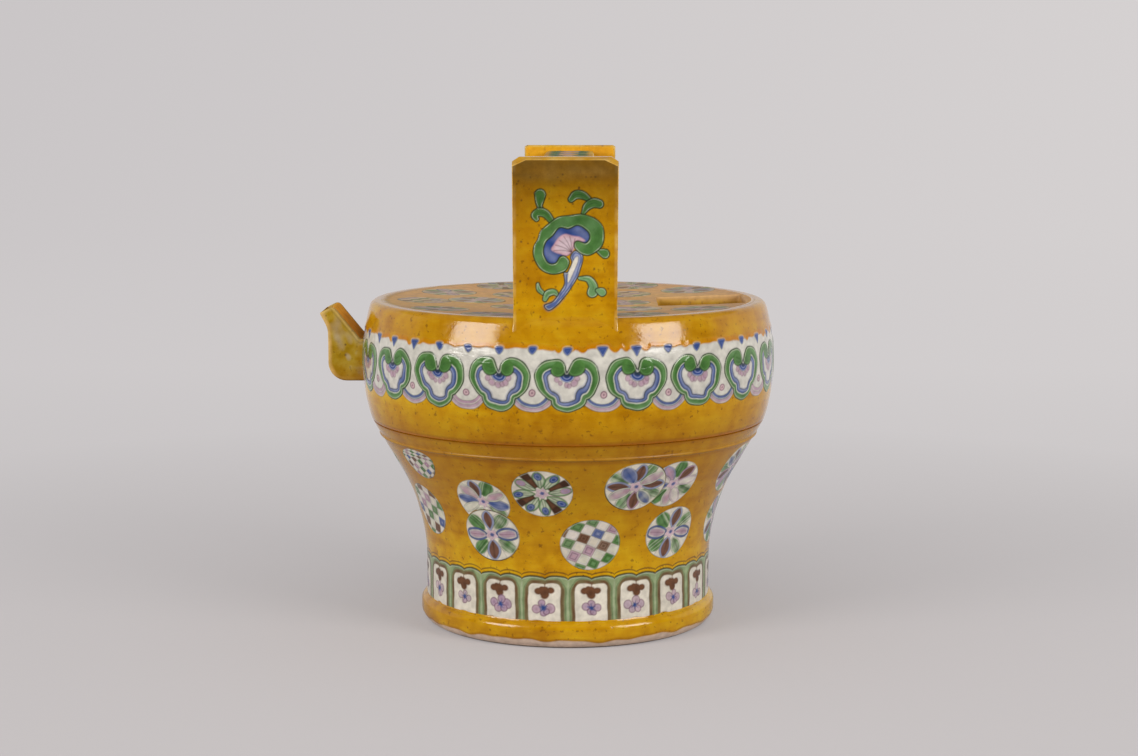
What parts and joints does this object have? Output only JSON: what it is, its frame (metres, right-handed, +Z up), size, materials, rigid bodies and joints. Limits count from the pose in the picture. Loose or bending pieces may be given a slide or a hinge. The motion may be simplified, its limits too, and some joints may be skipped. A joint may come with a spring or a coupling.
{
  "type": "ceramic water pot",
  "caption": "Glazed ceramic water pot in pail form: flaring footed body, flat roof with a square filling hole, upright posts with a crossbar handle and a short closed spout.",
  "frame": {"origin": "centre of the foot's standing flat on the table", "axes": "+Z up along the pot's axis, -Y towards the front post, -X towards the spout, +X towards the filling hole"},
  "size_m": [0.2113, 0.1926, 0.22],
  "materials": {
    "amber_glaze": "translucent amber-yellow lead glaze over biscuit, with incised and enamelled ornament",
    "olive_glaze": "thin mottled yellow glaze, scuffed at the edges",
    "biscuit": "bare fired biscuit"
  },
  "bodies": {
    "root": {"foot_ring": "amber_glaze", "base_disc": "biscuit", "lower_wall": "amber_glaze", "upper_wall": "amber_glaze", "top_plate": "amber_glaze", "front_post": "amber_glaze", "rear_post": "amber_glaze", "crossbar": "amber_glaze", "spout_front_cheek": "olive_glaze", "spout_rear_cheek": "olive_glaze", "spout_belly": "olive_glaze", "spout_roof": "olive_glaze"}
  },
  "joints": []
}
